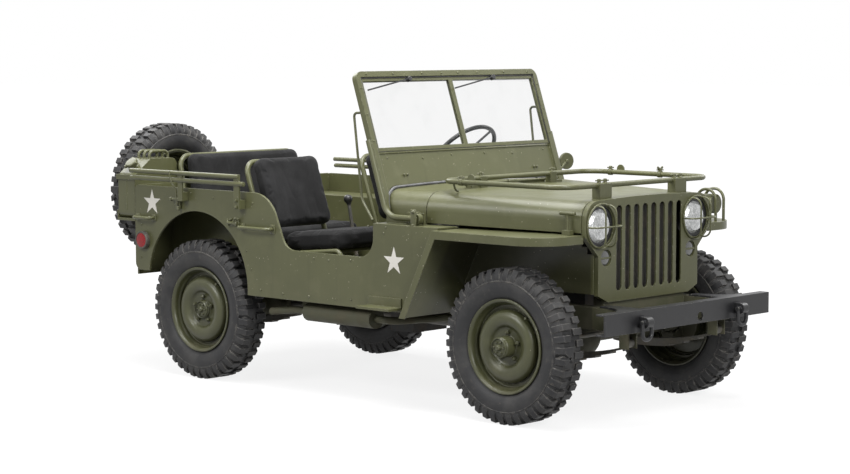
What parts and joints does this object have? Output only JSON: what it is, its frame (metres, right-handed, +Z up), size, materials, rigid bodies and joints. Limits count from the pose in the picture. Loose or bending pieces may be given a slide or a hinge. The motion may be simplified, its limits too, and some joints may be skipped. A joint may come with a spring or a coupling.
{
  "type": "army 4x4 car",
  "caption": "Open army 4x4 car with a folding windshield, hinged hood, steered front wheels, spare wheel and fuel can at the tail.",
  "frame": {"origin": "on the ground under the middle of the bounding box", "axes": "+X forward, +Y to the driver's side, +Z up"},
  "size_m": [3.3899, 1.58, 1.562],
  "materials": {
    "olive_paint": "satin olive drab",
    "black_paint": "worn black",
    "dark_steel": "dusty",
    "cast_iron": "rough",
    "dull_metal": "matt",
    "seat_cloth": "coarse weave",
    "pane_glass": "clear",
    "lamp_glass": "frosted",
    "red_lens": "clear red",
    "mirror_glass": "polished",
    "black_plastic": "satin",
    "tyre_rubber": "dusty"
  },
  "bodies": {
    "chassis": {"frame_rails": "olive_paint", "cross_members": "olive_paint", "spring_hangers": "olive_paint", "leaf_springs": "dark_steel", "front_axle": "olive_paint", "rear_axle": "olive_paint", "dampers": "olive_paint", "power_unit": "cast_iron", "propeller_shafts": "dark_steel", "radiator": "dull_metal", "exhaust": "dull_metal", "front_bumper": "black_paint", "tow_shackles": "black_paint", "floor": "olive_paint", "body_sides": "olive_paint", "tail_panel": "olive_paint", "wheel_houses": "olive_paint", "cowl": "olive_paint", "grille": "olive_paint", "headlamps": "olive_paint", "lamp_lenses": "lamp_glass", "marker_lamps": "lamp_glass", "lamp_guards": "olive_paint", "front_fenders": "olive_paint", "steering_column": "olive_paint", "floor_controls": "black_plastic", "seat_frames": "olive_paint", "front_seat_pads": "seat_cloth", "rear_seat_pads": "seat_cloth", "bow_rods": "olive_paint", "grab_handles": "olive_paint", "side_steps": "olive_paint", "tail_lamps": "red_lens", "rear_carriers": "olive_paint", "fuel_can": "olive_paint", "spare_tyre": "tyre_rubber", "spare_wheel": "olive_paint", "towing_plate": "olive_paint", "blackout_lamp": "olive_paint", "hood_catches": "olive_paint"},
    "hood": {"hood": "olive_paint", "hood_rail": "olive_paint"},
    "windshield": {"windshield_frame": "olive_paint", "windshield_sash": "olive_paint", "windshield_panes": "pane_glass", "wipers": "olive_paint", "mirror": "mirror_glass"},
    "steering_wheel": {"steering_wheel": "black_plastic"},
    "knuckle_left": {"knuckle_left": "olive_paint"},
    "knuckle_right": {"knuckle_right": "olive_paint"},
    "tie_rod": {"tie_rod": "dark_steel"},
    "wheel_front_right": {"tyre_front_right": "tyre_rubber", "wheel_front_right": "olive_paint"},
    "wheel_front_left": {"tyre_front_left": "tyre_rubber", "wheel_front_left": "olive_paint"},
    "wheel_rear_right": {"tyre_rear_right": "tyre_rubber", "wheel_rear_right": "olive_paint"},
    "wheel_rear_left": {"tyre_rear_left": "tyre_rubber", "wheel_rear_left": "olive_paint"}
  },
  "joints": [
    {"name": "steer_left", "type": "hinge", "parent": "chassis", "child": "knuckle_left", "pos_m": [1.125, 0.545, 0.352], "axis": [0, 0, 1], "range_deg": [-28, 28]},
    {"name": "steer_right", "type": "hinge", "parent": "chassis", "child": "knuckle_right", "pos_m": [1.125, -0.545, 0.352], "axis": [0, 0, 1], "range_deg": [-28, 28]},
    {"name": "tie_rod_pivot", "type": "hinge", "parent": "knuckle_left", "child": "tie_rod", "pos_m": [1.275, 0.545, 0.379], "axis": [0, 0, 1], "range_deg": [-28, 28]},
    {"name": "steering_wheel_turn", "type": "hinge", "parent": "chassis", "child": "steering_wheel", "pos_m": [-0.063, 0.35, 1.114], "axis": [-0.766, 0, 0.6428], "range_deg": [-364, 364]},
    {"name": "hood_hinge", "type": "hinge", "parent": "chassis", "child": "hood", "pos_m": [0.577, 0, 1.034], "axis": [0, -1, 0], "range_deg": [0, 95]},
    {"name": "windshield_fold", "type": "hinge", "parent": "chassis", "child": "windshield", "pos_m": [0.575, 0, 0.89], "axis": [0, -1, 0], "range_deg": [-100, 0]},
    {"name": "spin_front_right", "type": "hinge", "parent": "knuckle_right", "child": "wheel_front_right", "pos_m": [1.125, -0.622, 0.352], "axis": [0, 1, 0], "continuous": true},
    {"name": "spin_front_left", "type": "hinge", "parent": "knuckle_left", "child": "wheel_front_left", "pos_m": [1.125, 0.622, 0.352], "axis": [0, 1, 0], "continuous": true},
    {"name": "spin_rear_right", "type": "hinge", "parent": "chassis", "child": "wheel_rear_right", "pos_m": [-0.907, -0.622, 0.352], "axis": [0, 1, 0], "continuous": true},
    {"name": "spin_rear_left", "type": "hinge", "parent": "chassis", "child": "wheel_rear_left", "pos_m": [-0.907, 0.622, 0.352], "axis": [0, 1, 0], "continuous": true}
  ],
  "couplings": [
    {"joint": "steer_right", "follows": "steer_left", "ratio": 1},
    {"joint": "tie_rod_pivot", "follows": "steer_left", "ratio": -1},
    {"joint": "steering_wheel_turn", "follows": "steer_left", "ratio": 13}
  ]
}
